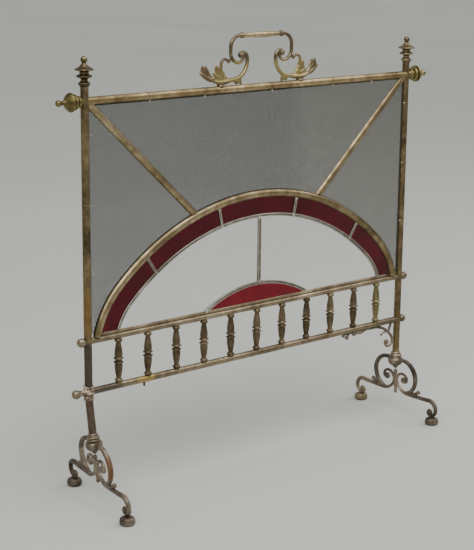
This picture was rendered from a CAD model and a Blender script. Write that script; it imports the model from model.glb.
"""Fireplace screen: materials, detailed pieces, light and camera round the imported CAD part.

Shapes are written in millimetres from the plane of the screen: X along it, Y to the back, Z up.
"""

import math
import random

import bpy
from mathutils import Matrix, Vector


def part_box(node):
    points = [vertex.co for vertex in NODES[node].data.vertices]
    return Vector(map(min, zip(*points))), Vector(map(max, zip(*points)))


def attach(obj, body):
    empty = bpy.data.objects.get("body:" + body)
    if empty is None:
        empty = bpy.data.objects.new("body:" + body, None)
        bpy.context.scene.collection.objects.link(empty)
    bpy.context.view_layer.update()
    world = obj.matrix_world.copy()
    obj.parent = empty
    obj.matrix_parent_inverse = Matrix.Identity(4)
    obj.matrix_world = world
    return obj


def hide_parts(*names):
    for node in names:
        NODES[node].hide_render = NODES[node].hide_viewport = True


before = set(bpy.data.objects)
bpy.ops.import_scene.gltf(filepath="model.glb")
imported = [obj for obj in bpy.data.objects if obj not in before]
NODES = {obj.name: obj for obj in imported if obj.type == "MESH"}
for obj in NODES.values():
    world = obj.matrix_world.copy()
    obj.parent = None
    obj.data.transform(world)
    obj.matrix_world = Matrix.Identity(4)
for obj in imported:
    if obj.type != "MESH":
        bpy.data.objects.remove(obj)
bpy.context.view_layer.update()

MM = 0.001
SCENE = bpy.context.scene


def centre(node):
    """Middle of a CAD node's box, in millimetres."""
    lo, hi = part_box(node)
    return [(a + b) / 2 / MM for a, b in zip(lo, hi)]


# ---------------------------------------------------------------- the frame's own numbers, in mm
PANEL_Y = centre("top_rail")[1]
TOP_Z = centre("top_rail")[2]
MID_Z = centre("mid_rail")[2]
LOW_Z = centre("lower_rail")[2]
HX = centre("right_post")[0]
GRIP_Z = centre("grip")[2]
HANDLE_X = centre("grip")[0]
SIDES = ((-1, "left"), (1, "right"))
TUBE_R = 6.35
BUN_H = 12.5            # the feet stand on buns this high
BUN_HALF = 94.5         # from the middle of a foot to the axis of a bun
COLLAR_Z = 108.0
BREAK_Z = 174.0         # the left post ends here and the bent leg starts
ARCH_TOP = 463.5
# three-centred arch: crown radius, flank radius, half angle of the crown and their centres
R1, R2, HALF = 428.0, 154.0, math.radians(43.8)
C1 = (0.0, ARCH_TOP - R1)
C2 = ((R1 - R2) * math.sin(HALF), C1[1] + (R1 - R2) * math.cos(HALF))
PANEL_Z = MID_Z + 4.75  # lower edge of the leaded panel
BAND_IN = 44.0          # from the outer edge of the arch to the inner lead
STRIP_W = 13.5          # width of the arch moulding
CAME_W, CAME_T = 5.5, 5.0
CROSS_W, CENTRE_W = 4.8, 6.5
CROSS = (-34.3, -12.0, 12.0, 34.3)  # degrees from the vertical
CENTRE_X = 3.0
SUN_X, SUN_H = 118.0, 34.0  # half the width of the ruby sun, and its height
SUN_R = (SUN_X * SUN_X + SUN_H * SUN_H) / (2 * SUN_H)
SUN_C = (0.0, PANEL_Z + 2 + SUN_H - SUN_R)
SADDLE_X = -87.0        # the knob under a handle casting, from the middle of the handle
TIE_X = (-232, -121, 22, 163, 258)
TIE_Z = (370, 478, 585)


def panel(x, y, z):
    """A point given from the plane of the screen, in metres of the row frame."""
    return Vector((x, y + PANEL_Y, z)) * MM


# ---------------------------------------------------------------- mesh helpers
def build(name, verts, faces, smooth=True):
    """Mesh object from points in metres."""
    mesh = bpy.data.meshes.new(name)
    mesh.from_pydata([tuple(v) for v in verts], [], faces)
    mesh.validate()
    for p in mesh.polygons:
        p.use_smooth = smooth
    obj = bpy.data.objects.new(name, mesh)
    SCENE.collection.objects.link(obj)
    return obj


def merge(parts):
    """One (verts, faces) out of many."""
    verts, faces = [], []
    for v, f in parts:
        n = len(verts)
        verts += list(v)
        faces += [[i + n for i in face] for face in f]
    return verts, faces


def arc(c, r, a0, a1, n=None):
    """Points of an arc in a plane, angles in degrees."""
    n = n or max(3, int(abs(a1 - a0) / 6) + 1)
    pts = []
    for i in range(n + 1):
        a = math.radians(a0 + (a1 - a0) * i / n)
        pts.append((c[0] + r * math.cos(a), c[1] + r * math.sin(a)))
    return pts


def line(a, b, n):
    """n + 1 points from a to b in a plane."""
    return [(a[0] + (b[0] - a[0]) * i / n, a[1] + (b[1] - a[1]) * i / n) for i in range(n + 1)]


def skin(rings, sides, flip=False):
    """Faces of a closed skin over rings of points, with a cap at each end."""
    faces = []
    for i in range(rings - 1):
        for k in range(sides):
            m = (k + 1) % sides
            a, b, c, d = i * sides + k, i * sides + m, (i + 1) * sides + m, (i + 1) * sides + k
            faces.append([a, d, c, b] if flip else [a, b, c, d])
    first, last = list(range(sides)), list(range((rings - 1) * sides, rings * sides))
    return faces + ([first, last[::-1]] if flip else [first[::-1], last])


def spread(points, radii):
    """A radius for every point, read off `radii` by length along the path."""
    lengths = [0.0]
    for a, b in zip(points, points[1:]):
        lengths.append(lengths[-1] + (Vector(b) - Vector(a)).length)
    out = []
    for s in lengths:
        t = s / max(lengths[-1], 1e-9) * (len(radii) - 1)
        i = min(int(t), len(radii) - 2)
        out.append(radii[i] + (radii[i + 1] - radii[i]) * (t - i))
    return out


def tube(points, radii, sides, flat=1.0, up=None):
    """Round bar along 3D points; `flat` scales it along `up`."""
    pts = [Vector(p) for p in points]
    n = len(pts)
    radii = radii if len(radii) == n else spread(pts, radii)
    verts = []
    side = None
    for i, p in enumerate(pts):
        t = pts[min(i + 1, n - 1)] - pts[max(i - 1, 0)]
        t.normalize()
        if up is not None:
            side = t.cross(Vector(up))
        elif side is None:
            side = t.cross(Vector((0.31, 0.87, 0.39)))
        side = side - t * side.dot(t)
        side.normalize()
        other = side.cross(t)
        for k in range(sides):
            a = 2 * math.pi * k / sides
            verts.append(p + side * (radii[i] * math.cos(a))
                         + other * (radii[i] * flat * math.sin(a)))
    return verts, skin(n, sides)


def ball(p, r, scale=(1, 1, 1), rings=12, sides=18):
    """Sphere, or an ellipsoid by `scale`."""
    verts, faces = [], []
    for i in range(1, rings):
        a = math.pi * i / rings
        for k in range(sides):
            b = 2 * math.pi * k / sides
            d = Vector((math.sin(a) * math.cos(b), math.sin(a) * math.sin(b), math.cos(a)))
            verts.append(Vector(p) + Vector([r * d[j] * scale[j] for j in range(3)]))
    top, bottom = len(verts), len(verts) + 1
    verts.append(Vector(p) + Vector((0, 0, r * scale[2])))
    verts.append(Vector(p) - Vector((0, 0, r * scale[2])))
    for i in range(rings - 2):
        for k in range(sides):
            m = (k + 1) % sides
            faces.append([i * sides + k, (i + 1) * sides + k, (i + 1) * sides + m, i * sides + m])
    for k in range(sides):
        m = (k + 1) % sides
        faces.append([top, k, m])
        faces.append([bottom, (rings - 2) * sides + m, (rings - 2) * sides + k])
    return verts, faces


def bar(points, radii, sides, flat, up):
    """Tube with a ball at each end, as three parts."""
    return [tube(points, radii, sides, flat, up), ball(points[0], radii[0]),
            ball(points[-1], radii[-1])]


def soften(profile, rounds=2, keep=0.28):
    """Cuts the corners of an open profile a little, so that turned edges catch the light."""
    for _ in range(rounds):
        out = [profile[0]]
        for a, b in zip(profile, profile[1:]):
            out.append((a[0] + (b[0] - a[0]) * keep, a[1] + (b[1] - a[1]) * keep))
            out.append((b[0] - (b[0] - a[0]) * keep, b[1] - (b[1] - a[1]) * keep))
        out.append(profile[-1])
        profile = out
    return profile


def lathe(profile, place, sides, wobble=0.0, seed=0):
    """Turned form from (radius, height), then moved by the matrix `place` (mm).

    wobble: how far it is out of round, as a share of the radius.
    """
    rng = random.Random(seed)
    phase = rng.uniform(0, 6.28)
    verts = []
    for r, h in profile:
        for k in range(sides):
            a = 2 * math.pi * k / sides
            rr = max(r, 0.02) * (1 + wobble * math.sin(2 * a + phase + h * 0.2))
            verts.append(place @ Vector((rr * math.cos(a), rr * math.sin(a), h)))
    return verts, skin(len(profile), sides)


def sphere_profile(z, r, a0, a1):
    """Profile points of a ball on the axis, from one latitude to another."""
    return arc((0, z), r, a0, a1, 12)


def moved(part, matrix):
    """The same (verts, faces) put elsewhere."""
    return [matrix @ Vector(v) for v in part[0]], part[1]


def to_row(part):
    """Panel millimetres to row-frame metres."""
    return [panel(*v) for v in part[0]], part[1]


def cast(name, parts, voxel, smooth):
    """Fuses overlapping bars into one casting; more rounds of `smooth` soften its joints."""
    verts, faces = to_row(merge(parts))
    obj = build(name, verts, faces)
    remesh = obj.modifiers.new("fuse", "REMESH")
    remesh.mode = "VOXEL"
    remesh.voxel_size = voxel * MM
    remesh.use_smooth_shade = True
    soft = obj.modifiers.new("soften", "SMOOTH")
    soft.factor = 0.5
    soft.iterations = smooth
    graph = bpy.context.evaluated_depsgraph_get()
    mesh = bpy.data.meshes.new_from_object(obj.evaluated_get(graph))
    obj.modifiers.clear()
    old = obj.data
    obj.data = mesh
    mesh.name = name
    bpy.data.meshes.remove(old)
    for p in mesh.polygons:
        p.use_smooth = True
    return obj


# ---------------------------------------------------------------- material helpers
def linear(rgb):
    """sRGB 0-255 to linear."""
    out = []
    for c in rgb:
        c /= 255
        out.append(c / 12.92 if c <= 0.04045 else ((c + 0.055) / 1.055) ** 2.4)
    return (*out, 1.0)


class Paint:
    """Short names for making the node tree of a Principled material."""

    def __init__(self, name):
        self.mat = bpy.data.materials.new(name)
        self.mat.use_nodes = True
        self.tree = self.mat.node_tree
        self.tree.nodes.clear()
        self.out = self.node("ShaderNodeOutputMaterial")
        self.bsdf = self.node("ShaderNodeBsdfPrincipled")
        self.link(self.bsdf.outputs[0], self.out.inputs[0])
        self.coord = self.node("ShaderNodeTexCoord").outputs["Object"]

    def node(self, kind, **props):
        made = self.tree.nodes.new(kind)
        for k, v in props.items():
            setattr(made, k, v)
        return made

    def link(self, a, b):
        self.tree.links.new(a, b)

    def put(self, socket, value):
        if isinstance(value, bpy.types.NodeSocket):
            self.link(value, socket)
        else:
            socket.default_value = value

    def noise(self, scale, detail, rough, seed, stretch=(1, 1, 1), distort=0.0):
        mapping = self.node("ShaderNodeMapping")
        self.link(self.coord, mapping.inputs["Vector"])
        mapping.inputs["Location"].default_value = (seed * 1.7, seed * 0.9, seed * 2.3)
        mapping.inputs["Scale"].default_value = stretch
        tex = self.node("ShaderNodeTexNoise")
        self.link(mapping.outputs[0], tex.inputs["Vector"])
        tex.inputs["Scale"].default_value = scale
        tex.inputs["Detail"].default_value = detail
        tex.inputs["Roughness"].default_value = rough
        tex.inputs["Distortion"].default_value = distort
        return tex.outputs["Fac"]

    def math(self, op, a, b=0.0):
        made = self.node("ShaderNodeMath", operation=op)
        self.put(made.inputs[0], a)
        self.put(made.inputs[1], b)
        return made.outputs[0]

    def span(self, value, a, b, lo=0.0, hi=1.0):
        made = self.node("ShaderNodeMapRange", clamp=True)
        self.put(made.inputs["Value"], value)
        made.inputs["From Min"].default_value = a
        made.inputs["From Max"].default_value = b
        made.inputs["To Min"].default_value = lo
        made.inputs["To Max"].default_value = hi
        return made.outputs[0]

    def mix(self, fac, a, b):
        made = self.node("ShaderNodeMix", data_type="RGBA")
        self.put(made.inputs[0], fac)
        self.put(made.inputs[6], a)
        self.put(made.inputs[7], b)
        return made.outputs[2]

    def ramp(self, fac, stops):
        made = self.node("ShaderNodeValToRGB")
        self.put(made.inputs[0], fac)
        elements = made.color_ramp.elements
        while len(elements) < len(stops):
            elements.new(0.5)
        for e, (pos, colour) in zip(elements, stops):
            e.position = pos
            e.color = colour
        return made.outputs[0]

    def axis(self, index):
        made = self.node("ShaderNodeSeparateXYZ")
        self.link(self.coord, made.inputs[0])
        return made.outputs[index]

    def bump(self, height, strength, distance):
        made = self.node("ShaderNodeBump")
        self.link(height, made.inputs["Height"])
        made.inputs["Strength"].default_value = strength
        made.inputs["Distance"].default_value = distance
        self.link(made.outputs[0], self.bsdf.inputs["Normal"])


def metal(name, dark, mid, light, seed, metallic=0.9, rough=(0.3, 0.55), streak=None,
          worn=None, spots=None, edges=True, bump=0.25, zones=(), scale=1.0):
    """Old metal: patina in three sizes, specks, worn edges, grime in hollows, fine scratches.

    streak: the axis that the draw marks follow. spots: (tint, frequency, from, to).
    zones: (tint, amount, ((axis, middle, half width), ...)), in metres of the row frame.
    """
    p = Paint(name)
    # patina in three sizes makes the colour and the roughness, and the finer two the relief
    broad = p.noise(14 * scale, 5, 0.6, seed, distort=0.3)
    mottle = p.noise(75 * scale, 7, 0.62, seed + 3)
    fine = p.noise(420 * scale, 4, 0.6, seed + 7)
    tone = p.math("ADD", p.math("MULTIPLY", broad, 0.5), p.math("MULTIPLY", mottle, 0.38))
    tone = p.math("ADD", tone, p.math("MULTIPLY", fine, 0.12))
    colour = p.ramp(tone, [(0.36, linear(dark)), (0.5, linear(mid)), (0.64, linear(light))])
    height = p.math("ADD", p.math("MULTIPLY", mottle, 0.7), p.math("MULTIPLY", fine, 0.5))
    if spots:
        tint, freq, lo, hi = spots
        where = p.span(p.noise(freq, 5, 0.6, seed + 11), lo, hi)
        colour = p.mix(where, colour, linear(tint))
    if streak is not None:  # draw marks along the tube
        stretch = [1.0, 1.0, 1.0]
        stretch[streak] = 0.035
        lines = p.noise(900, 3, 0.6, seed + 17, stretch=stretch)
        cut = p.span(lines, 0.6, 0.72)
        colour = p.mix(p.math("MULTIPLY", cut, 0.28), colour, linear(light))
        height = p.math("ADD", height, p.math("MULTIPLY", lines, -0.15))
    specks = p.span(p.noise(260 * scale, 3, 0.5, seed + 23), 0.66, 0.72)
    colour = p.mix(p.math("MULTIPLY", specks, 0.75), colour, linear([c * 0.35 for c in dark]))
    if edges:  # grime stays in hollows, and handling brightens edges
        point = p.node("ShaderNodeNewGeometry").outputs["Pointiness"]
        hollow = p.span(point, 0.5, 0.43)
        colour = p.mix(p.math("MULTIPLY", hollow, 0.8), colour, linear([c * 0.4 for c in dark]))
        edge = p.math("MULTIPLY", p.span(point, 0.53, 0.6), p.span(mottle, 0.4, 0.55))
        colour = p.mix(p.math("MULTIPLY", edge, 0.85), colour, linear(worn or light))
    for tint, amount, bounds in zones:
        where = amount
        for axis, middle, half in bounds:
            far = p.math("ABSOLUTE", p.math("SUBTRACT", p.axis(axis), middle))
            stray = p.math("MULTIPLY", p.math("SUBTRACT", mottle, 0.5), min(half, 0.04))
            ragged = p.math("ADD", far, stray)
            where = p.math("MULTIPLY", p.span(ragged, half, half * 0.8), where)
        colour = p.mix(where, colour, linear(tint))
    p.link(colour, p.bsdf.inputs["Base Color"])
    p.bsdf.inputs["Metallic"].default_value = metallic
    p.link(p.span(tone, 0.35, 0.65, rough[1], rough[0]), p.bsdf.inputs["Roughness"])
    p.bump(height, bump, 0.0004)
    return p.mat


def glass(name, deep, clear, seed, rough=0.04, wave=0.3, streak=(1, 1, 1), ior=1.28):
    """Sheet glass with cords and uneven colour."""
    p = Paint(name)
    cords = p.noise(22, 4, 0.55, seed, stretch=streak, distort=0.8)
    cloud = p.noise(7, 3, 0.5, seed + 2, stretch=streak)
    tone = p.math("ADD", p.math("MULTIPLY", cords, 0.6), p.math("MULTIPLY", cloud, 0.4))
    colour = p.ramp(tone, [(0.38, deep), (0.62, clear)])
    p.link(colour, p.bsdf.inputs["Base Color"])
    p.bsdf.inputs["Transmission Weight"].default_value = 1.0
    p.bsdf.inputs["IOR"].default_value = ior
    dust = p.noise(160, 5, 0.65, seed + 5)
    p.link(p.span(dust, 0.55, 0.8, rough, rough + 0.12), p.bsdf.inputs["Roughness"])
    p.bump(cords, wave, 0.0006)
    return p.mat


def dress(obj, mat):
    """Gives the object this material and no other."""
    obj.data.materials.clear()
    obj.data.materials.append(mat)


def piece(obj, mat, slot, *nodes, body="screen"):
    """A visible piece that rides a body and stands for CAD nodes."""
    dress(obj, mat)
    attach(obj, body)
    if nodes:
        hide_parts(*nodes)


def shape(name, part, mat, slot, *nodes, body="screen", smooth=True):
    """A piece straight from (verts, faces) in panel millimetres."""
    verts, faces = to_row(part)
    piece(build(name, verts, faces, smooth), MAT[mat], slot, *nodes, body=body)


# ---------------------------------------------------------------- materials
TUBE = dict(metallic=0.85, rough=(0.24, 0.42), edges=False, bump=0.12)
MAT = {
    "post_left": metal("post_left", (64, 55, 39), (121, 106, 76), (166, 149, 112), 1.0, streak=2,
                       zones=(((66, 64, 59), 0.85, ((2, 0.2, MID_Z * MM - 0.2),)),
                              ((144, 110, 66), 0.5, ((2, 0.31, 0.04),))), **TUBE),
    "post_right": metal("post_right", (60, 51, 38), (117, 100, 72), (163, 144, 107), 2.0, streak=2,
                        zones=(((120, 108, 66), 0.5, ((2, 0.15, 0.05),)),), **TUBE),
    "leg": metal("leg", (48, 41, 35), (94, 82, 70), (132, 116, 98), 3.0, streak=2,
                 zones=(((96, 72, 62), 0.6, ((2, 0.178, 0.022),)),), **TUBE),
    "top": metal("top_rail", (100, 83, 54), (148, 128, 90), (192, 173, 134), 4.0, streak=0, **TUBE),
    "mid": metal("mid_rail", (92, 79, 62), (142, 126, 100), (190, 175, 145), 5.0, streak=0, **TUBE),
    "low": metal("lower_rail", (80, 68, 54), (128, 112, 88), (170, 154, 126), 6.0, streak=0,
                 zones=(((176, 152, 84), 0.75, ((0, -0.240, 0.018),)),
                        ((78, 74, 68), 0.6, ((0, -0.33, 0.05),))), **TUBE),
    "mould": metal("moulding", (82, 70, 49), (132, 115, 84), (188, 170, 134), 7.0, edges=False,
                   rough=(0.24, 0.42), bump=0.15),
    "finial": metal("finial", (56, 47, 33), (114, 100, 72), (180, 164, 126), 8.0,
                    worn=(216, 204, 168), rough=(0.22, 0.42)),
    "side_finial": metal("side_finial", (66, 58, 34), (118, 106, 66), (170, 156, 108), 9.0,
                         worn=(200, 186, 140), rough=(0.24, 0.44)),
    "bronze": metal("baluster", (58, 49, 38), (102, 88, 68), (146, 130, 104), 10.0,
                    worn=(186, 170, 136)),
    "olive": metal("baluster_olive", (84, 78, 52), (128, 118, 80), (174, 164, 122), 11.0,
                   worn=(204, 194, 152)),
    "foot": metal("foot", (52, 44, 37), (108, 96, 82), (166, 151, 130), 12.0,
                  worn=(192, 176, 152),
                  zones=(((132, 84, 50), 0.55,
                          ((0, -0.35, 0.05), (1, -0.056, 0.011), (2, 0.077, 0.021))),
                         ((134, 118, 86), 0.55,
                          ((0, 0.36, 0.06), (1, 0.103, 0.022), (2, 0.026, 0.034)))),
                  spots=((124, 98, 78), 11, 0.66, 0.78), bump=0.7, rough=(0.32, 0.58), metallic=0.65),
    "collar": metal("collar", (72, 63, 51), (128, 115, 95), (178, 164, 140), 26.0,
                    worn=(200, 186, 160), rough=(0.28, 0.5)),
    "handle": metal("handle", (56, 48, 37), (120, 106, 82), (186, 171, 140), 13.0,
                    worn=(222, 208, 174),
                    zones=(((180, 162, 104), 0.6, ((2, 0.662, 0.018), (0, 0.003, 0.112))),
                           ((132, 106, 82), 0.4, ((2, 0.662, 0.022), (0, -0.118, 0.016)))),
                    spots=((134, 96, 74), 34, 0.6, 0.7), bump=0.45, rough=(0.2, 0.42)),
    "grip": metal("grip", (98, 80, 54), (150, 130, 94), (196, 176, 136), 14.0,
                  rough=(0.24, 0.42), worn=(214, 196, 156), bump=0.15),
    "rod": metal("rod", (60, 58, 54), (104, 100, 94), (150, 146, 138), 15.0, **TUBE),
    "lead": metal("lead", (64, 60, 54), (106, 100, 92), (168, 162, 152), 16.0, metallic=0.45,
                  rough=(0.45, 0.7), worn=(206, 202, 192), bump=0.5),
    "joint": metal("lead_joint", (132, 126, 114), (178, 170, 156), (216, 208, 194), 24.0,
                   metallic=0.5, rough=(0.4, 0.6), worn=(226, 220, 206), bump=0.5, edges=False),
    "solder": metal("solder", (84, 70, 52), (176, 164, 136), (236, 228, 204), 17.0, metallic=0.35,
                    rough=(0.35, 0.6), worn=(250, 246, 232), bump=0.7, scale=2.4,
                    spots=((92, 74, 56), 170, 0.5, 0.56)),
    "wire": metal("tie_wire", (120, 116, 104), (184, 178, 162), (226, 222, 206), 18.0,
                  metallic=0.7, rough=(0.3, 0.5), edges=False),
    "loop": metal("tie_loop", (84, 72, 50), (138, 120, 86), (180, 162, 124), 25.0, metallic=0.8,
                  rough=(0.35, 0.55), edges=False),
    "gauze": metal("gauze_wire", (12, 12, 10), (25, 24, 21), (52, 50, 44), 19.0,
                   metallic=0.35, rough=(0.55, 0.75), edges=False, bump=0.1, scale=0.4,
                   zones=(((104, 100, 88), 0.42, ((0, 0.34, 0.28),)),)),
    "ruby": glass("ruby_glass", (0.080, 0.003, 0.009, 1), (0.130, 0.004, 0.015, 1), 20.0),
    "sun": glass("sun_glass", (0.175, 0.005, 0.013, 1), (0.27, 0.010, 0.025, 1), 21.0),
    "clear": glass("clear_glass", (0.93, 0.96, 0.95, 1), (0.98, 0.99, 0.985, 1), 22.0, 0.01, 0.12,
                   (0.4, 1, 1.6), 1.45),
}

# ---------------------------------------------------------------- CAD nodes that stay
KEPT = {
    "left_post": ("post_left", "aged_brass"), "right_post": ("post_right", "aged_brass"),
    "left_leg": ("leg", "dark_bronze"), "top_rail": ("top", "worn_brass"),
    "mid_rail": ("mid", "aged_brass"), "lower_rail": ("low", "aged_brass"),
    "arch_moulding": ("mould", "worn_brass"), "arch_backing": ("mould", "aged_brass"),
    "diagonal_left": ("mould", "worn_brass"), "diagonal_right": ("mould", "worn_brass"),
    "handle_rod": ("rod", "binding_wire"), "bracket_pin": ("leg", "dark_bronze"),
    "sun_glass": ("sun", "ruby_glass"), "clear_glass_left": ("clear", "clear_glass"),
    "clear_glass_right": ("clear", "clear_glass"),
}
for i in range(1, len(CROSS) + 2):  # one more ruby piece than leads across the band
    KEPT[f"ruby_glass_{i}"] = ("ruby", "ruby_glass")
for node, (mat, slot) in KEPT.items():
    dress(NODES[node], MAT[mat])

# ---------------------------------------------------------------- finials, balls, balusters
POST_FINIAL = [
    (5.0, 21.6), (7.4, 21.8), (7.4, 24), (9.3, 25.0), (9.4, 27.9), (7, 29.2), (5.3, 31), (5.2, 33.4),
    (7.8, 35.1), (11.6, 36.0), (12.1, 37.6), (11.6, 39.2), (8, 40.3), (7, 41.2), (7, 45.4), (13.5, 46.1),
    (15, 47.3), (14.2, 48.7), (10.4, 50.2), (6.2, 53), (3.8, 56.2), (3, 58.0),
] + sphere_profile(62, 5.4, -56, 88)
SIDE_FINIAL = [
    (5.4, 3.2), (5.8, 8.3), (8.8, 9.4), (9.2, 11.4), (8.8, 13.4), (6, 14.4), (6, 16.2), (11.6, 17.2),
    (12.4, 19.4), (11.6, 21.5), (7.4, 22.4), (7.4, 23.4), (14, 23.8), (15, 25.4), (14.3, 27.2),
    (12.5, 29.8), (8.5, 33.2), (4.6, 36), (3.1, 38.4), (3.1, 41.8),
] + sphere_profile(46.5, 5.2, -52, 88)


def place_x(x, z, side):
    """Axis along X, pointing outwards on that side, at a panel point."""
    return Matrix.Translation((x, 0, z)) @ Matrix.Rotation(side * math.pi / 2, 4, "Y")


BALL_OUT = 12.4      # middle of a rail ball, from the axis of its post
BARE_TENON = 11.0    # the lower left ball stands this much further out
BALL_R = 7.25
for side, word in SIDES:
    place = Matrix.Translation((side * HX, 0, TOP_Z))
    shape(f"finial_post_{word}", lathe(soften(POST_FINIAL), place, 48), "finial", "aged_brass",
          f"post_finial_{word}")
    place = place_x(side * HX, TOP_Z, side)
    shape(f"finial_side_{word}", lathe(soften(SIDE_FINIAL), place, 48), "side_finial", "worn_brass",
          f"side_finial_{word}")
    for z, where, extra in ((MID_Z, "mid", 0.0), (LOW_Z, "low", BARE_TENON if side < 0 else 0.0)):
        d = BALL_OUT + extra
        start = 5.0 if not extra else d - 10.4
        profile = [(3.2, start), (4.4, start + 0.3), (4.6, d - 7.0), (4.3, d - 6.2)]
        profile += sphere_profile(d, BALL_R, -52, 88)
        shape(f"rail_ball_{where}_{word}", lathe(soften(profile, 1), place_x(side * HX, z, side), 36),
              "collar", "aged_brass", f"ball_{where}_{word}")

BAL_MID = (LOW_Z + 3.5 + MID_Z - 2.75) / 2
BAL_H = (MID_Z - 2.75 - LOW_Z - 3.5) / 2  # half the length that shows
BAL_HALF = [
    (5.0, 1.5), (7.4, 2.0), (8.3, 3.2), (7.4, 4.4), (5.9, 5.1), (5.9, 5.8), (6.5, 8), (6.45, 13),
    (5.7, 18), (5, 23), (4.2, 27.4), (3.6, BAL_H - 7.8), (5.5, BAL_H - 7.1), (6.5, BAL_H - 5.6),
    (6.4, BAL_H - 4.0), (5.4, BAL_H - 2.6), (4.9, BAL_H - 1.6), (4.9, BAL_H),
]
BALUSTERS = 11
for i in range(1, BALUSTERS + 1):
    rng = random.Random(40 + i)
    profile = [(r, -h) for r, h in reversed(BAL_HALF)] + BAL_HALF
    tilt = Matrix.Rotation(rng.uniform(-0.012, 0.012), 4, "Y")
    x = -HX + 2 * HX * i / (BALUSTERS + 1)
    place = Matrix.Translation((x, 0, BAL_MID)) @ tilt
    last = i == BALUSTERS
    shape(f"baluster_turned_{i}", lathe(soften(profile), place, 32, 0.006, i),
          "olive" if last else "bronze", "worn_brass" if last else "dark_bronze", f"baluster_{i}")

# ---------------------------------------------------------------- feet
def foot_axes(word, lean):
    """Matrices from a foot's own frame to the panel's: standing on the floor, and leaning."""
    front = Vector(centre(f"bun_{word}_front"))
    rear = Vector(centre(f"bun_{word}_rear"))
    mid = (front + rear) / 2
    turn = -math.atan2(rear.x - front.x, rear.y - front.y)
    flat = Matrix.Translation((mid.x, mid.y - PANEL_Y, 0)) @ Matrix.Rotation(turn, 4, "Z")
    up = Matrix.Translation((0, 0, BUN_H))
    tipped = flat @ up @ Matrix.Rotation(math.radians(lean), 4, "Y") @ up.inverted()
    return flat, tipped


# bars of half a foot: path in Y and Z, then radii along it
FOOT_BARS = [
    # outer bow
    (arc((21, 74), 31, -78, 92), [3.2, 3.9, 4.2, 4.1, 3.6]),
    # inner scroll
    (arc((21.25, 69.63), 8, -40, 62) + arc((18, 64), 14.5, 62, 212), [3.0, 2.4, 2.6, 2.8, 3.0]),
    # long toe, down to the bun
    (arc((31.43, 71.75), 30, 205, 270)
     + [(33, 41.8), (46, 42.1), (60, 42.6), (74, 43.2), (88.5, 44.1)]
     + arc((88.5, 28.6), 15.5, 88, -6) + arc((92.4, 28.2), 11.6, -8, -100),
     [2.4, 3.0, 3.4, 3.5, 3.7, 3.9, 3.8, 3.4, 2.9]),
    # spur
    ([(38, 43), (44, 44.6), (50, 46.8), (55, 49.6), (60, 52.4)], [3.8, 3.6, 3.0, 2.8, 3.9]),
]
# curled ends: middle, radius, first angle, sense
EYES = [((22.0, 66), 7.0, 100, 1), ((89.4, 21.8), 8.0, -60, -1)]
PENDANT_Z = 86
PENDANT = [
    (0.4, 0), (2.2, 0.4), (4.4, 2.8), (5.0, 4.8), (6.4, 5.8), (10.2, 8.0), (13.0, 11.2), (14.2, 15.0),
    (13.8, 18.4), (12.2, 20.8), (10.4, 21.8),
]
STEM = [
    (0.4, 36.4), (3.2, 38.2), (3.7, 40.2), (3.2, 42.4), (2.4, 44.4), (3.5, 49), (3.7, 60), (3.3, 70),
    (2.4, 75.5), (3.3, 78), (3.9, 80.4), (3.3, 82.8), (1.2, 84.6),
]
BUN = [
    (3.0, 0), (8.6, 0), (11.0, 1.2), (12.4, 3.6), (12.5, 5.6), (12.2, 7.2), (11.7, 7.9), (11.9, 8.6),
    (11.2, 10.6), (9.2, 12.3), (6.4, 13.3), (4.6, 13.9), (2.5, 14.1),
]
COLLAR = [
    (6.2, -1.5), (10.6, -1.3), (11.2, -0.4), (10.6, 0.6), (9.5, 1.2), (9.5, 2.2), (11.0, 3.0),
    (11.3, 4.4), (10.4, 5.7), (8.6, 6.6), (8.2, 7.6), (8.9, 8.5), (8.8, 9.9), (7.8, 11.0),
    (7.0, 11.6), (6.2, 11.8),
]


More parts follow.
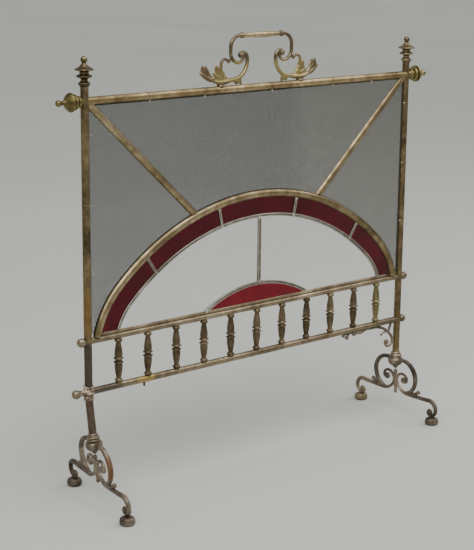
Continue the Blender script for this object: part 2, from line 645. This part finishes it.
def foot(word, lean):
    """Scroll casting, its two buns and its collar, leaning by so many degrees."""
    flat, tipped = foot_axes(word, lean)
    parts = []
    for s in (-1, 1):
        for path, radii in FOOT_BARS:
            parts += bar([(0, s * a, b) for a, b in path], radii, 14, 1.12, (1, 0, 0))
        # each eye is a tightening spiral with a thin boss in it
        for (a, b), r, start, sense in EYES:
            curl = []
            for i in range(25):
                t = i / 24
                ang = math.radians(start + sense * 400 * t)
                rr = (r - 2.0) * (1 - 0.86 * t)
                curl.append((0, s * (a + rr * math.cos(ang)), b + rr * math.sin(ang)))
            parts.append(tube(curl, [2.3, 2.5, 2.7, 3.2], 12, 1.25, up=(1, 0, 0)))
            parts.append(ball(curl[-1], 3.3, (1.25, 1, 1)))
            parts.append(ball((0, s * a, b), r - 0.9, (0.34, 1, 1)))
        neck = Matrix.Translation((0, s * BUN_HALF, BUN_H - 0.5))
        parts.append(lathe([(3.9, 0), (3.4, 2), (3.5, 6)], neck, 18))
    bridge = [(0, -24, 104.9), (0, 0, 105), (0, 24, 104.9)]
    parts.append(tube(bridge, [3.8, 4.3, 3.8], 14))
    parts.append(lathe(soften(STEM), Matrix(), 20))
    parts.append(lathe(soften(PENDANT), Matrix.Translation((0, 0, PENDANT_Z)), 28))
    casting = cast(f"foot_cast_{word}", [moved(p, tipped) for p in parts], 0.65, 3)
    piece(casting, MAT["foot"], "dark_bronze", f"foot_{word}")
    for end, s in (("front", -1), ("rear", 1)):
        place = flat @ Matrix.Translation((0, s * BUN_HALF, 0))
        shape(f"bun_turned_{word}_{end}", lathe(soften(BUN), place, 36), "foot", "dark_bronze",
              f"bun_{word}_{end}")
    # the collar lies along the leg, which is bent on the left
    seat = tipped @ Vector((0, 0, COLLAR_Z))
    if word == "left":
        axis = Vector((-HX, 0, BREAK_Z)) - seat
        place = Matrix.Translation(seat) @ axis.to_track_quat("Z", "Y").to_matrix().to_4x4()
    else:
        place = Matrix.Translation((HX, 0, COLLAR_Z))
    shape(f"collar_turned_{word}", lathe(soften(COLLAR), place, 40), "collar", "aged_brass",
          f"foot_collar_{word}")


foot("left", -6.0)
foot("right", -2.61)

# ---------------------------------------------------------------- handle
CURL_Z = 648  # the leaves start to bend above this


def curl_y(z, curl):
    """How far a leaf has bent to the front at that height."""
    return curl * max(0.0, z - CURL_Z)


def leaf(outline, thick, curl):
    """Domed plate from an outline in the X-Z plane; `curl` bends its tips to the front."""
    pts = soften(outline + [outline[0]], 2, 0.22)[:-1]
    cx = sum(p[0] for p in pts) / len(pts)
    cz = sum(p[1] for p in pts) / len(pts)
    levels = ((-1.0, 0.84), (-0.5, 1.0), (0.5, 1.0), (1.0, 0.84))
    verts = []
    for level, inset in levels:
        for x, z in pts:
            xx, zz = cx + (x - cx) * inset, cz + (z - cz) * inset
            verts.append((xx, level * thick / 2 - curl_y(zz, curl), zz))
    return verts, skin(len(levels), len(pts))


def handle_parts(s):
    """One cast mount, drawn on the left of the handle and turned about its middle for the right."""
    g = GRIP_Z
    paths = [
        # from the grip down into the inner scroll
        (arc((-48, g - 18.5), 18.5, 90, 180) + [(-66.5, 696)] + arc((-50, 693), 16.5, 180, 270)
         + arc((-50, 688), 11.5, 272, 380), [2.6, 3.0, 3.1, 2.8, 3.0, 2.9, 2.6, 2.2]),
        # outer bow of the scroll
        (arc((-41.4, 683.6), 10, 110, 10) + arc((-61, 680), 30, 8, -90),
         [2.2, 2.9, 3.3, 3.3, 3.4, 3.6]),
        # stalk along the rail that carries the leaves
        ([(-61, 650), (-72, 648.4), (-82, 647.4), (-92, 647.2), (-100, 649), (-108, 652.4),
          (-118, 657.4), (-127, 662.6)], [3.4, 3.8, 4.0, 3.6, 3.0, 2.6, 2.0, 1.4]),
        # small tendril
        (arc((-78.5, 675.5), 8, 20, 180) + [(-86.6, 668), (-85.6, 660), (-84, 651)],
         [2.1, 2.4, 2.5, 2.6, 3.0]),
    ]
    parts = []
    for path, radii in paths:
        parts += bar([(x, 0, z) for x, z in path], radii, 14, 1.1, (0, 1, 0))
    # drops where the curls end and touch
    for x, z, r in ((-45, 688.6, 5.0), (-71, 680.4, 3.6), (-40.5, 691, 2.9)):
        parts.append(ball((x, 0, z), r))
    # leaves: outline, thickness, curl
    leaves = [
        ([(-92, 645), (-101, 649), (-110.4, 648.5), (-119, 652.6), (-126, 658), (-129.4, 663),
          (-127, 667), (-126.4, 672), (-123.6, 677), (-120.4, 673), (-116, 675.6), (-113.6, 670),
          (-110, 668.4), (-109.4, 662), (-104, 655), (-97, 651)], 2.5, 0.14),
        ([(-62, 649), (-68, 644.5), (-84, 642.5), (-97, 646.5), (-104, 652.6), (-100, 657.6),
          (-104, 662.6), (-97, 663), (-99, 672), (-93, 675), (-90.6, 670), (-86.5, 672), (-84.4, 665),
          (-79, 664), (-77.4, 658), (-72, 652.5)], 2.7, 0.1),
        ([(-59, 650), (-50, 652), (-43, 651), (-43.4, 640), (-48.5, 645), (-54.5, 641),
          (-59.4, 646)], 4.2, 0.0),
    ]
    for outline, thick, curl in leaves:
        parts.append(leaf(outline, thick, curl * s))
    ribs = [
        ([(-68, 648), (-80, 653), (-89, 661), (-94, 672.6)], 0.1),
        ([(-80, 650), (-91, 655), (-102, 661.4)], 0.1),
        ([(-72, 650), (-80, 657), (-85.6, 668.6)], 0.1),
        ([(-86, 647), (-95, 649), (-102.6, 652.8)], 0.1),
        ([(-98, 649), (-112, 657), (-122.6, 674)], 0.14),
        ([(-100, 650), (-116, 656), (-128, 663)], 0.14),
        ([(-102, 652), (-110, 660), (-115.4, 672.6)], 0.14),
        ([(-57, 648.6), (-51, 648), (-44.6, 644)], 0.0),
    ]
    for path, curl in ribs:
        pts = [(x, -curl_y(z, curl * s), z) for x, z in path]
        parts.append(tube(pts, [2.4, 2.4, 2.2, 1.5], 10, 1.15, up=(0, 1, 0)))
        parts.append(ball(pts[-1], 1.7))
    # fold between the leaves, and the knob under them
    parts.append(ball((-104, -0.8, 653), 3.4, (1.2, 0.8, 1)))
    parts.append(ball((SADDLE_X, 0, 643.4), 4.2, (1.9, 0.9, 0.75)))
    # collar with two rings that takes the rod
    ring = [(1.2, 0), (4, 0), (5, 1), (5, 2.3), (3.8, 3), (3.8, 3.6), (4.8, 4.4), (4.8, 5.7),
            (3.4, 6.7), (2.9, 10)]
    place = Matrix.Translation((-40.2, 0, g)) @ Matrix.Rotation(-math.pi / 2, 4, "Y")
    parts.append(lathe(soften(ring, 1), place, 24))
    saddle = [(1, 0), (6.6, 0.2), (7.0, 1.4), (5.6, 2.6), (4.4, 4.4), (4.6, 7)]
    parts.append(lathe(soften(saddle), Matrix.Translation((SADDLE_X, 0, TOP_Z + 4.6)), 28))
    half_turn = Matrix.Rotation(0 if s < 0 else math.pi, 4, "Z")
    turn = Matrix.Translation((HANDLE_X, 0, 0)) @ half_turn
    return [moved(p, turn) for p in parts]


for s, word in SIDES:
    piece(cast(f"handle_cast_{word}", handle_parts(s), 0.5, 2), MAT["handle"], "dark_bronze",
          f"handle_mount_{word}")

GRIP = [
    (1.8, -39.8), (3.2, -39.6), (3.7, -38.6), (3.2, -37.6), (3.35, -36), (4.1, -22), (5.0, -8), (5.3, 0),
    (5.0, 8), (4.1, 22), (3.35, 36), (3.2, 37.6), (3.7, 38.6), (3.2, 39.6), (1.8, 39.8),
]
shape("grip_turned", lathe(soften(GRIP), place_x(HANDLE_X, GRIP_Z, 1), 36), "grip", "worn_brass",
      "grip", body="grip")

# ---------------------------------------------------------------- corner bracket
bracket = []
for path, radii in (
    # bow from the post into the long arm
    (arc((287, LOW_Z - 67.5), 61.5, 22, 90)
     + [(268, 175.3), (248, 175.1), (230, 175.0), (213, 174.8)],
     [2.4, 2.6, 2.7, 2.6, 2.4, 1.9, 1.7]),
    # buds at the tip and under the arm
    ([(226, 176), (222.5, 172.5), (219.5, 169.5)], [1.6, 1.9, 2.2]),
    ([(237, 172.1), (241, 172.3), (246, 173.3)], [3.3, 3.1, 2.6]),
    ([(252, 172.5), (256, 172.6), (261, 173.7)], [3.4, 3.1, 2.6]),
    # lower curl, its stalk and the two spurs
    (arc((328.5, 142.5), 9.5, 165, 372), [1.8, 2.1, 2.3, 2.4]),
    ([(338, 142.5), (337.6, 147), (335.6, 151.5)], [2.3, 2.3, 2.4]),
    (arc((319, 148), 14, 38, 136), [2.2, 1.8, 1.3]),
    ([(335, 178), (331.8, 171), (328, 163)], [2.0, 2.3, 2.5]),
):
    bracket += bar([(x, 0, z) for x, z in path], radii, 12, 1.0, (0, 1, 0))
for x, z, r in ((210, 173, 3.4), (219, 167.9, 3.7), (237, 172.1, 3.8), (252, 172.5, 3.9),
                (323.4, 142.1, 4.6), (308.6, 158, 2.2)):
    bracket.append(ball((x, 0, z), r))
piece(cast("bracket_cast", bracket, 0.55, 2), MAT["foot"], "dark_bronze", "corner_bracket")

# ---------------------------------------------------------------- solder and ties
rng = random.Random(5)
blobs = [ball((-HX - 10, 0, LOW_Z), 4.3, (1.7, 1, 1))]
# smears round the post: from and to in degrees, height, radius
for a0, a1, z, r in ((100, 420, 3.5, 1.9), (120, 400, -1.5, 2.1), (90, 430, -6.5, 2.0),
                     (160, 360, -11, 1.7), (130, 380, 8, 1.5)):
    path = []
    for i in range(31):
        a = math.radians(a0 + (a1 - a0) * i / 30)
        rr = TUBE_R + rng.uniform(0.1, 0.8)
        path.append((-HX + rr * math.cos(a), rr * math.sin(a), LOW_Z + z + rng.uniform(-1.1, 1.1)))
    blobs.append(tube(path, [r * rng.uniform(0.75, 1.25) for _ in path], 8))
# drops on the post, then on the bare tenon
for _ in range(34):
    a = rng.uniform(1.2, 6.6)
    r = TUBE_R + rng.uniform(-0.2, 0.9)
    z = LOW_Z + rng.uniform(-15, 11)
    blobs.append(ball((-HX + r * math.cos(a), r * math.sin(a), z), rng.uniform(0.9, 2.2)))
for _ in range(14):
    x = -HX - rng.uniform(8, 17)
    a = rng.uniform(0, 6.28)
    blobs.append(ball((x, 3.6 * math.cos(a), LOW_Z + 3.6 * math.sin(a)), rng.uniform(1.0, 2.0)))
piece(cast("solder_lump", blobs, 0.4, 1), MAT["solder"], "solder", "solder_repair")

LOOP_R, TAIL_R = 0.24, 0.5


def tie(place, seed, inward):
    """Wire twice round a rail, then its two ends twisted together."""
    rng = random.Random(seed)
    loop = []
    for i in range(45):
        a = 2 * math.pi * (i / 22) - math.pi / 2
        rr = TUBE_R + 0.2
        loop.append((rr * math.cos(a), rr * math.sin(a), -0.6 + 1.2 * i / 44))
    ring = tube(loop, [LOOP_R] * len(loop), 6)
    parts = []
    lean = Vector((0.9 * inward, -0.14, rng.uniform(-0.5, 0.3))).normalized()
    u = lean.cross(Vector((0, 1, 0))).normalized()
    w = lean.cross(u)
    base = Vector((0.75 * TUBE_R * inward, -0.8 * TUBE_R, 0))
    for phase in (0, math.pi):
        pts = []
        for i in range(14):
            a = phase + i * 0.75
            pts.append(base + lean * (i * 0.42) + (u * math.cos(a) + w * math.sin(a)) * 0.55)
        parts.append(tube(pts, [TAIL_R] * len(pts), 6))
    return [moved(ring, place)], [moved(p, place) for p in parts]


loops, tails = [], []
places = [(Matrix.Translation((x, 0, TOP_Z)) @ Matrix.Rotation(math.pi / 2, 4, "Y"), 1)
          for x in TIE_X]
places += [(Matrix.Translation((s * HX, 0, z)), -s) for z in TIE_Z for s in (-1, 1)]
for k, (place, inward) in enumerate(places):
    ring, ends = tie(place, k, inward)
    loops += ring
    tails += ends
shape("tie_tails", merge(tails), "wire", "binding_wire", "gauze_ties")
shape("tie_loops", merge(loops), "loop", "binding_wire")

# ---------------------------------------------------------------- gauze of real wires
PITCH, WIRE_R = 0.8, 0.172
JITTER = 0.12
GX = HX - TUBE_R - 0.3
GZ0, GZ1 = PANEL_Z + 6, TOP_Z - TUBE_R - 0.3
EDGE_IN = STRIP_W / 2 - 0.5  # the gauze ends this far under the arch moulding
EDGE_R = 0.85


def arch_z(x, d):
    """Height of the arch at x, d in from its outer edge."""
    x = abs(x)
    if x <= (R1 - d) * math.sin(HALF):
        return C1[1] + math.sqrt((R1 - d) ** 2 - x * x)
    if x < C2[0] + R2 - d:
        return C2[1] + math.sqrt((R2 - d) ** 2 - (x - C2[0]) ** 2)
    return None


def arch_x(z, d):
    """Half width of the arch at height z."""
    if z >= C2[1] + (R2 - d) * math.cos(HALF):
        s = (R1 - d) ** 2 - (z - C1[1]) ** 2
        return math.sqrt(s) if s > 0 else None
    return C2[0] + math.sqrt((R2 - d) ** 2 - (z - C2[1]) ** 2)


def wire(a, b, r=WIRE_R, sides=4):
    """One straight wire."""
    wires.append(tube([a, b], [r, r], sides))


wires = []
rng = random.Random(77)
# the upright wires lie just in front of the plane of the screen, the level ones just behind
FRONT, BEHIND = -WIRE_R * 0.9, WIRE_R * 0.9
n = int(2 * GX / PITCH)
for i in range(n + 1):
    x = -GX + 2 * GX * i / n
    z0 = arch_z(x, EDGE_IN)
    z0 = GZ0 if z0 is None else max(z0, GZ0)
    j = rng.uniform(-JITTER, JITTER)
    wire((x + j, FRONT, z0), (x - j, FRONT, GZ1))
n = int((GZ1 - GZ0) / PITCH)
for i in range(n + 1):
    z = GZ0 + (GZ1 - GZ0) * i / n
    j = rng.uniform(-JITTER, JITTER)
    half = arch_x(z, EDGE_IN)
    if half is None:
        wire((-GX, BEHIND, z + j), (GX, BEHIND, z - j))
    elif half < GX - 1:
        for s in (-1, 1):
            wire((s * half, BEHIND, z + j), (s * GX, BEHIND, z - j))
# bound edges along the posts and the rail
for s in (-1, 1):
    wire((s * (GX - 0.2), 0, GZ0), (s * (GX - 0.2), 0, GZ1), EDGE_R, 8)
wire((-GX, 0, GZ1 - 0.2), (GX, 0, GZ1 - 0.2), EDGE_R, 8)
shape("gauze_wires", merge(wires), "gauze", "gauze_wire", "gauze", smooth=False)

# ---------------------------------------------------------------- leads
LIP_Y, LIP_R = 1.9, 0.62
lips = []


def beside(path, i, across, y):
    """A point at the side of point i of a path in the plane of the screen."""
    a, b = path[max(i - 1, 0)], path[min(i + 1, len(path) - 1)]
    d = Vector((b[0] - a[0], b[1] - a[1])).normalized()
    return (path[i][0] - d.y * across, y, path[i][1] + d.x * across)


def came(path, w):
    """Rounded lead along a path in the plane of the screen."""
    section = []
    for i in range(20):
        a = 2 * math.pi * i / 20
        c, s = math.cos(a), math.sin(a)
        section.append((w / 2 * math.copysign(abs(c) ** 0.55, c),
                        CAME_T / 2 * math.copysign(abs(s) ** 0.7, s)))
    verts = [beside(path, i, across, y) for i in range(len(path)) for across, y in section]
    return verts, skin(len(path), len(section), flip=True)


def add_lips(path, w):
    """Two raised lips along a lead, on both faces, that catch the light."""
    for y in (-LIP_Y, LIP_Y):
        for side in (-1, 1):
            pts = [beside(path, i, side * (w / 2 - 0.5), y) for i in range(len(path))]
            lips.append(tube(pts, [LIP_R] * len(pts), 6, up=(0, 1, 0)))


def ring_point(angle, r):
    """A point over the crown's centre, so many degrees from the vertical."""
    a = math.radians(angle)
    return (C1[0] + r * math.sin(a), C1[1] + r * math.cos(a))


deg = math.degrees(HALF)
z_floor = PANEL_Z + CAME_W
right = [p for p in arc(C2, R2 - BAND_IN, 0, 90 - deg, 26) if p[1] > z_floor - 1]
crown = arc(C1, R1 - BAND_IN, 90 - deg, 90 + deg, 90)
left = [(-x, z) for x, z in reversed(right)]
band = right + crown[1:-1] + left
shape("lead_band", came(band, CAME_W), "lead", "lead_came", "came_band")
add_lips(band, CAME_W)
crosses = []
for angle in CROSS:
    path = line(ring_point(angle, R1 - BAND_IN + 1.5), ring_point(angle, R1 - STRIP_W + 1), 6)
    crosses.append(came(path, CROSS_W))
    add_lips(path, CROSS_W)
shape("lead_crosses", merge(crosses), "lead", "lead_came", "came_cross")
z0, z1 = PANEL_Z + 2 + SUN_H + 2.4, ARCH_TOP - BAND_IN - 2.4
middle = line((CENTRE_X, z0), (CENTRE_X, z1), 20)
shape("lead_centre", came(middle, CENTRE_W), "lead", "lead_came", "came_centre")
sun = [p for p in arc(SUN_C, SUN_R, 50, 130, 50) if p[1] > z_floor - 1.5]
shape("lead_sun", came(sun, CAME_W), "lead", "lead_came", "came_sun")
add_lips(sun, CAME_W)
add_lips(middle, CENTRE_W)
shape("lead_lips", merge(lips), "joint", "lead_came")
lo, hi = [[c / MM for c in corner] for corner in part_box("came_base")]
base_z = (lo[2] + hi[2]) / 2
base = line((lo[0], base_z), (hi[0], base_z), 40)
shape("lead_base", came(base, hi[2] - lo[2]), "mid", "lead_came", "came_base")

joints = []
spots = [ring_point(a, R1 - BAND_IN) for a in CROSS]
spots += [ring_point(a, R1 - STRIP_W - 1) for a in CROSS]
spots += [(CENTRE_X, z0), (CENTRE_X, z1), (-SUN_X + 6, z_floor), (SUN_X - 6, z_floor)]
for k, (x, z) in enumerate(spots):
    rng = random.Random(200 + k)
    for y in (-LIP_Y, LIP_Y):
        joints.append(ball((x, y, z), rng.uniform(3.0, 3.9), (1, 0.3, rng.uniform(0.8, 1.1)), 10, 16))
shape("lead_solder_joints", merge(joints), "joint", "solder")

# ---------------------------------------------------------------- floor, light, camera
FAR = 60                    # half the side of the floor, in metres
AIM = Vector((0, 0, 0.35))  # the lamps look here


def floor():
    """Plain pale plane that runs to the horizon."""
    corners = [(-FAR, -FAR, 0), (FAR, -FAR, 0), (FAR, FAR, 0), (-FAR, FAR, 0)]
    obj = build("floor", corners, [[0, 1, 2, 3]], False)
    p = Paint("floor")
    cloud = p.noise(0.8, 3, 0.5, 1.0)
    p.link(p.ramp(cloud, [(0.3, (0.52, 0.525, 0.49, 1)), (0.7, (0.55, 0.555, 0.52, 1))]),
           p.bsdf.inputs["Base Color"])
    p.bsdf.inputs["Roughness"].default_value = 0.9
    p.bsdf.inputs["Specular IOR Level"].default_value = 0.1
    dress(obj, p.mat)
    return obj


def lamp(name, at, size, watts, colour=(1, 1, 1)):
    """Area lamp that looks at the middle of the screen."""
    data = bpy.data.lights.new(name, "AREA")
    data.shape = "RECTANGLE"
    data.size, data.size_y = size
    data.energy = watts
    data.color = colour
    obj = bpy.data.objects.new(name, data)
    obj.location = at
    obj.rotation_euler = (AIM - Vector(at)).to_track_quat("-Z", "Y").to_euler()
    obj.visible_camera = False
    SCENE.collection.objects.link(obj)
    return obj


def daylight(strength, angle, tilt):
    """A wide soft source high to the front left, which lights the floor evenly to the horizon."""
    data = bpy.data.lights.new("ceiling", "SUN")
    data.energy = strength
    data.angle = math.radians(angle)
    obj = bpy.data.objects.new("ceiling", data)
    obj.rotation_euler = [math.radians(t) for t in tilt]
    SCENE.collection.objects.link(obj)
    return obj


lamps = [
    daylight(1.42, 64, (16, -22, 0)),
    lamp("overhead", (-0.5, -1.0, 2.6), (2.2, 2.2), 26),
    lamp("skylight", (1.9, -0.8, 2.4), (2.4, 2.4), 36),
    lamp("key", (-2.6, -2.2, 2.4), (1.2, 1.2), 16, (1.0, 0.985, 0.96)),
]
world = bpy.data.worlds.new("studio")
SCENE.world = world
world.use_nodes = True
backdrop = world.node_tree.nodes["Background"]
backdrop.inputs["Color"].default_value = (0.70, 0.71, 0.69, 1)
backdrop.inputs["Strength"].default_value = 0.566
floor()

# camera solved from the photo: azimuth, elevation and roll, place in metres, lens in mm
AZ, EL, ROLL = math.radians(-41), math.radians(13.36), math.radians(0.5635)
CAMERA_AT = (-1.6263, -1.80896, 0.89635)
LENS = 97.07
back = Vector((math.sin(AZ) * math.cos(EL), -math.cos(AZ) * math.cos(EL), math.sin(EL)))
ahead = -back
across = ahead.cross(Vector((0, 0, 1))).normalized()
above = across.cross(ahead)
right_axis = across * math.cos(ROLL) + above * math.sin(ROLL)
up_axis = above * math.cos(ROLL) - across * math.sin(ROLL)
camera_data = bpy.data.cameras.new("camera")
camera_data.sensor_width = 36
camera_data.sensor_fit = "AUTO"
camera_data.lens = LENS
camera_data.clip_end = 300
camera = bpy.data.objects.new("camera", camera_data)
turned = Matrix((right_axis, up_axis, back)).transposed().to_4x4()
camera.matrix_world = Matrix.Translation(CAMERA_AT) @ turned
SCENE.collection.objects.link(camera)
SCENE.camera = camera
